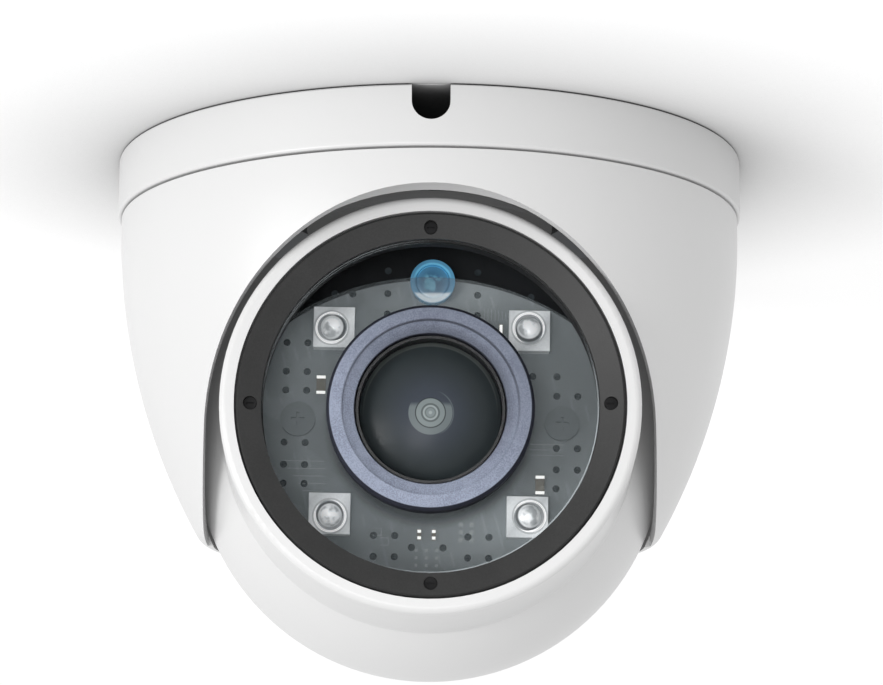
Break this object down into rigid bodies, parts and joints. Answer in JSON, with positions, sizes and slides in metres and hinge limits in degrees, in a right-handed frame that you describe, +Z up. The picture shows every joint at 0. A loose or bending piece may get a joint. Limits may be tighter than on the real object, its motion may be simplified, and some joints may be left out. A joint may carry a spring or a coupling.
{
  "type": "dome cctv camera",
  "caption": "Ceiling dome security camera: round base, turning shroud, tilting eyeball with glass window, ringed lens, infrared lamps and day-night filter.",
  "frame": {"origin": "centre of the flat ceiling face of the base", "axes": "+Z up into the ceiling, the camera looks along -Y, +X to the right seen from the front"},
  "size_m": [0.11, 0.11, 0.0906],
  "materials": {
    "white_shell": "fine satin white",
    "cast_metal": "die cast",
    "foam_gasket": "closed-cell foam",
    "black_rubber": "moulded rubber",
    "nylon": "moulded nylon",
    "spring_steel": "spring steel",
    "steel": "zinc plated",
    "window_clear": "polished",
    "black_plastic": "fine matt black",
    "ring_black": "satin black",
    "black_screw": "black zinc",
    "board_green": "dark solder mask",
    "led_silver": "bright silver",
    "led_lens": "clear silicone dome",
    "sensor_blue": "clear blue",
    "sensor_sleeve": "blue rim",
    "ceramic_chip": "tinned ends",
    "smoke_cover": "smoked",
    "shield_foam": "fine grained",
    "lens_glass": "coated",
    "coil_body": "moulded",
    "sensor_chip": "glass lid",
    "thermal_pad": "soft pad",
    "socket_plastic": "moulded",
    "ribbon_film": "flat flexible cable",
    "ir_filter_glass": "coated",
    "clear_filter_glass": "clear"
  },
  "bodies": {
    "base": {"base_plate": "white_shell", "ceiling_gasket": "foam_gasket", "base_cable_grommet": "black_rubber", "pan_washer": "nylon", "pan_retaining_clip": "spring_steel", "pan_lock_screw": "steel"},
    "swivel": {"shroud": "white_shell", "turntable": "cast_metal", "shroud_screws": "steel", "tilt_bracket_left": "steel", "tilt_bracket_right": "steel", "tilt_bracket_screws": "steel", "tilt_bushes": "nylon"},
    "eyeball": {"front_shell": "white_shell", "rear_shell": "white_shell", "shell_seal": "black_rubber", "shell_screws": "steel", "tilt_pins": "steel", "ball_cable_grommet": "black_rubber", "window_glass": "window_clear", "window_gasket": "black_rubber", "window_seat": "black_plastic", "seat_seal": "black_rubber", "retaining_ring": "ring_black", "retaining_screws": "black_screw", "module_clip": "spring_steel"},
    "module": {"module_frame": "black_plastic", "led_board": "board_green", "led_bases": "led_silver", "led_domes": "led_lens", "photosensor": "sensor_blue", "photosensor_sleeve": "sensor_sleeve", "board_components": "ceramic_chip", "board_screws": "steel", "board_cover": "smoke_cover", "light_shield": "shield_foam", "lens_barrel": "black_plastic", "front_lens": "lens_glass", "rear_lens": "lens_glass", "lens_holder": "black_plastic", "filter_coil": "coil_body", "image_sensor": "sensor_chip", "main_board": "board_green", "thermal_pad": "thermal_pad", "heat_spreader": "cast_metal", "board_posts": "steel", "ribbon_sockets": "socket_plastic", "led_ribbon": "ribbon_film"},
    "filter": {"filter_slide": "black_plastic", "ir_cut_filter": "ir_filter_glass", "clear_filter": "clear_filter_glass"}
  },
  "joints": [
    {"name": "pan", "type": "hinge", "parent": "base", "child": "swivel", "pos_m": [0, 0, 0], "axis": [0, 0, 1], "range_deg": [-175, 175]},
    {"name": "tilt", "type": "hinge", "parent": "swivel", "child": "eyeball", "pos_m": [0, 0, -0.0497], "axis": [1, 0, 0], "range_deg": [0, 78]},
    {"name": "roll", "type": "hinge", "parent": "eyeball", "child": "module", "pos_m": [0, 0, -0.0497], "axis": [0, 1, 0], "range_deg": [-175, 175]},
    {"name": "filter_shift", "type": "slide", "parent": "module", "child": "filter", "axis": [-0.9998, 0, 0.0175], "range_m": [0, 0.0082]}
  ]
}
